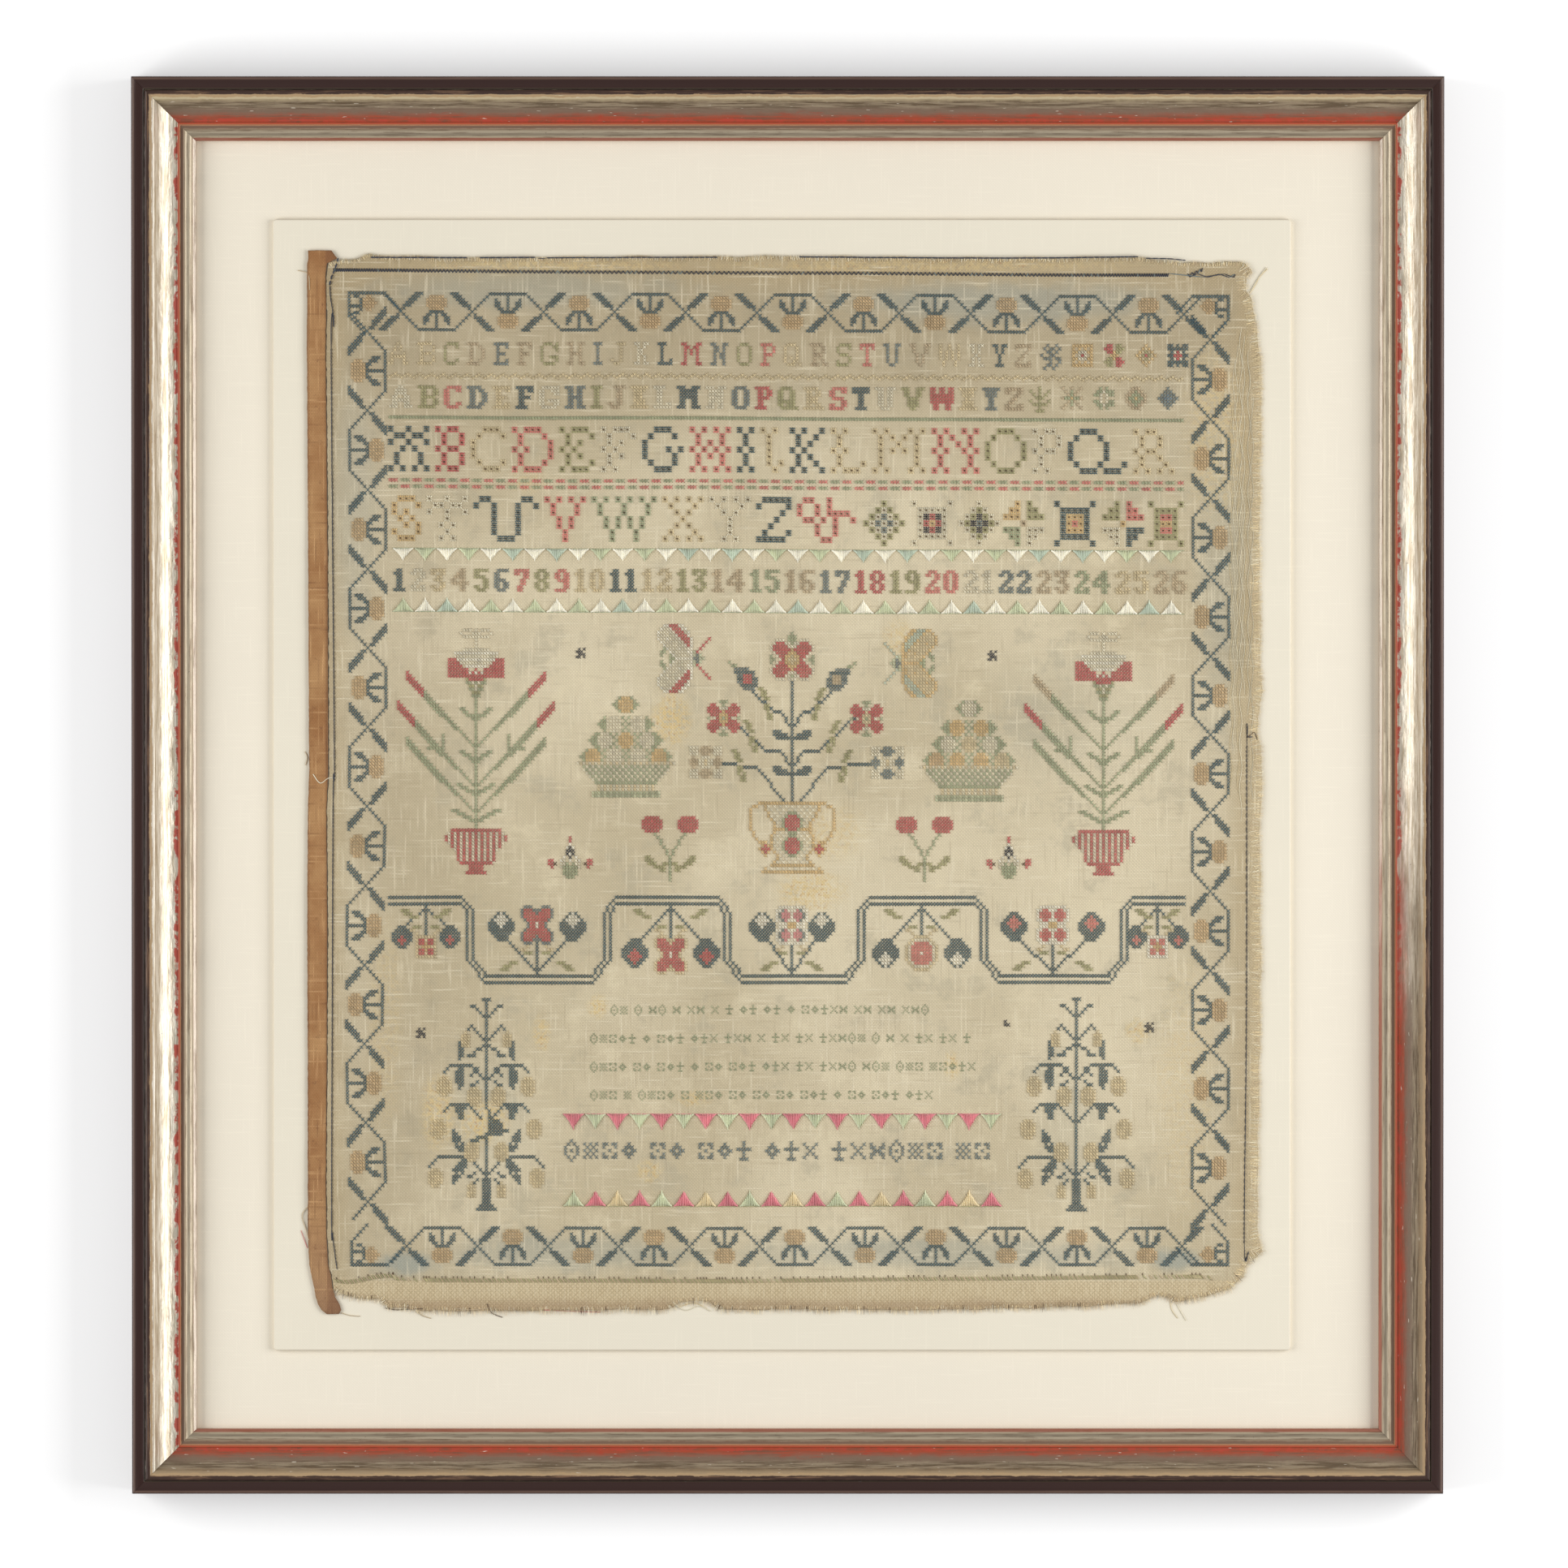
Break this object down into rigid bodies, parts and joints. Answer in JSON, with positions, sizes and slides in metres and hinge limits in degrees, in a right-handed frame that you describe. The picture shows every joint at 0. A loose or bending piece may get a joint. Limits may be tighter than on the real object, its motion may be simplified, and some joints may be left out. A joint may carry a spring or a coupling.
{
  "type": "framed cross stitch sampler with frame",
  "caption": "Flat antique-style cross stitch sampler with a ragged edge and bound side, on a linen-covered panel and board in a mitred, silvered wood frame.",
  "frame": {"origin": "under the middle of the frame, on the plane of the rails' backs, which rest on the surface", "axes": "+Z out of the worked face, +Y towards the top of the sampler, +X towards the viewer's right"},
  "size_m": [0.56, 0.605, 0.0263],
  "materials": {
    "moulding": "dark painted outer step, worn silver leaf in the hollow over red clay",
    "outer_linen": "fine plain-weave linen, cream",
    "inner_linen": "fine plain-weave linen, pale cream",
    "ground_cloth": "open plain-weave wool ground, worked in coloured cross stitch",
    "tape": "worn tan-brown woven tape"
  },
  "bodies": {
    "root": {"rail_top": "moulding", "rail_bottom": "moulding", "rail_left": "moulding", "rail_right": "moulding", "mount_board": "outer_linen", "raised_panel": "inner_linen", "sampler_cloth": "ground_cloth", "binding_tape": "tape"}
  },
  "joints": []
}
